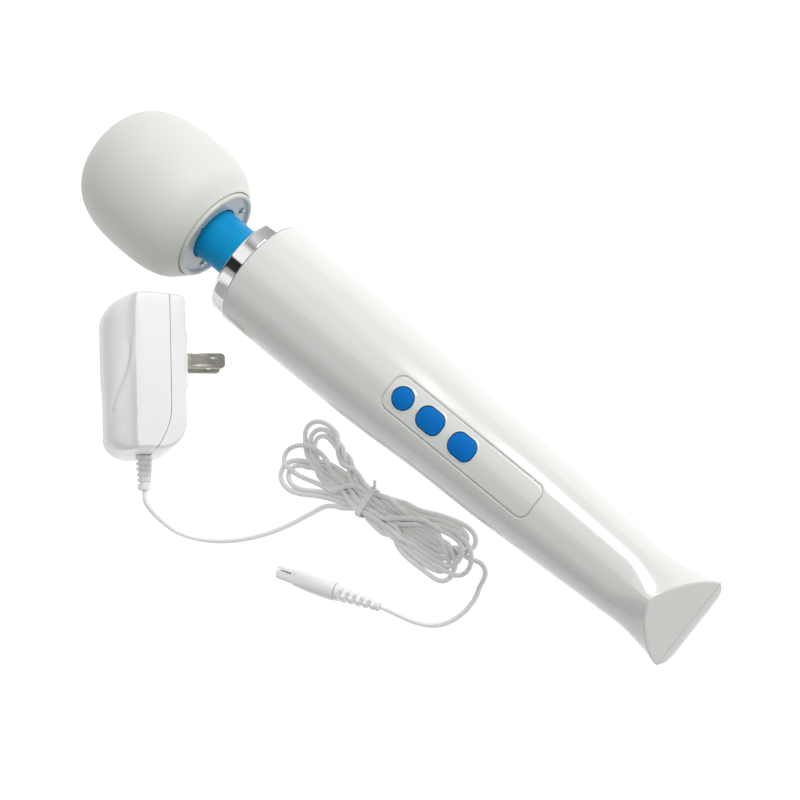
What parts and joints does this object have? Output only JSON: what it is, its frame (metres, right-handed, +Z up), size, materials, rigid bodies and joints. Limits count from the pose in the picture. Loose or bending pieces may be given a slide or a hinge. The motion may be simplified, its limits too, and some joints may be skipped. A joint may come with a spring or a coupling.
{
  "type": "handheld wand massager",
  "caption": "Cordless wand massager: round head on a flexible neck, tapered handle with push buttons, and a plug-in charger with a tied lead.",
  "frame": {"origin": "centre of the wand's bounding box at ground height, the charger left out", "axes": "+X from the foot of the handle to the head, +Y towards the charger, +Z up out of the button panel"},
  "size_m": [0.3243, 0.1422, 0.0613],
  "materials": {
    "body": "gloss",
    "button": "satin",
    "boot": "satin",
    "silicone": "satin",
    "plate": "satin",
    "chrome": "polished",
    "steel": "satin",
    "iron": "matte",
    "winding": "satin",
    "brass": "satin",
    "nickel": "satin",
    "damper": "matte",
    "dark": "matte",
    "board": "satin",
    "cell": "satin",
    "led": "gloss",
    "white": "satin",
    "cord": "satin"
  },
  "bodies": {
    "handle": {"front_shell": "body", "back_shell": "body", "shell_screw_1": "steel", "shell_screw_2": "steel", "shell_screw_3": "steel", "control_panel": "body", "control_board": "board", "power_switch": "dark", "pattern_switch": "dark", "speed_switch": "dark", "level_led_1": "led", "level_led_2": "led", "level_led_3": "led", "level_led_4": "led", "battery_cell_1": "cell", "battery_cell_2": "cell", "battery_cradle": "dark", "charge_socket": "dark", "motor_housing": "steel", "motor_end_cap": "dark", "motor_magnet": "iron", "motor_damper_rear": "damper", "motor_damper_front": "damper", "neck_bulkhead": "dark", "chrome_collar": "chrome", "neck_boot": "boot"},
    "rotor": {"motor_shaft": "steel", "armature_core": "winding", "shaft_coupling": "brass", "flex_drive": "steel"},
    "neck": {"neck_spring": "steel"},
    "head": {"head_cover": "silicone", "head_core_upper": "dark", "head_core_lower": "dark", "head_base_plate": "plate", "plate_screw_1": "steel", "plate_screw_2": "steel", "plate_screw_3": "steel", "bearing_rear": "steel", "bearing_front": "steel"},
    "eccentric": {"eccentric_shaft": "steel", "eccentric_weight": "iron"},
    "power_key": {"power_button": "button"},
    "pattern_key": {"pattern_button": "button"},
    "speed_key": {"speed_button": "button"},
    "charger": {"adapter_back_case": "white", "adapter_wall_cover": "white", "prong_left": "nickel", "prong_right": "nickel", "adapter_board": "board", "adapter_transformer": "dark", "adapter_strain_relief": "white", "adapter_lead": "cord", "cord_hank": "cord", "cord_tie": "cord", "plug_lead": "cord", "plug_strain_relief": "white", "plug_body": "white", "plug_pin": "nickel"}
  },
  "joints": [
    {"name": "neck_nod", "type": "hinge", "parent": "handle", "child": "neck", "pos_m": [0.08182, 0, 0.02903], "axis": [0, 1, 0], "range_deg": [-8, 8], "stiffness_Nm_per_rad": 10, "deforming": ["neck_boot", "neck_spring", "flex_drive"]},
    {"name": "neck_yaw", "type": "hinge", "parent": "neck", "child": "head", "pos_m": [0.09182, 0, 0.02941], "axis": [-0.0379, 0, 0.9993], "range_deg": [-8, 8], "stiffness_Nm_per_rad": 10, "deforming": ["neck_boot", "neck_spring", "flex_drive"]},
    {"name": "motor_spin", "type": "hinge", "parent": "handle", "child": "rotor", "pos_m": [0.03286, 0, 0.02718], "axis": [0.9993, 0, 0.0379], "continuous": true},
    {"name": "weight_spin", "type": "hinge", "parent": "head", "child": "eccentric", "pos_m": [0.13029, 0, 0.03087], "axis": [0.9993, 0, 0.0379], "continuous": true},
    {"name": "power_press", "type": "slide", "parent": "handle", "child": "power_key", "axis": [0.0379, 0, -0.9993], "range_m": [0, 0.0008], "stiffness_N_per_m": 1500},
    {"name": "pattern_press", "type": "slide", "parent": "handle", "child": "pattern_key", "axis": [0.0379, 0, -0.9993], "range_m": [0, 0.0008], "stiffness_N_per_m": 1500},
    {"name": "speed_press", "type": "slide", "parent": "handle", "child": "speed_key", "axis": [0.0379, 0, -0.9993], "range_m": [0, 0.0008], "stiffness_N_per_m": 1500},
    {"name": "charger_lift", "type": "slide", "parent": "handle", "child": "charger", "axis": [0, 0, 1], "range_m": [0, 0.2]}
  ],
  "couplings": [
    {"joint": "weight_spin", "follows": "motor_spin", "ratio": 1}
  ]
}
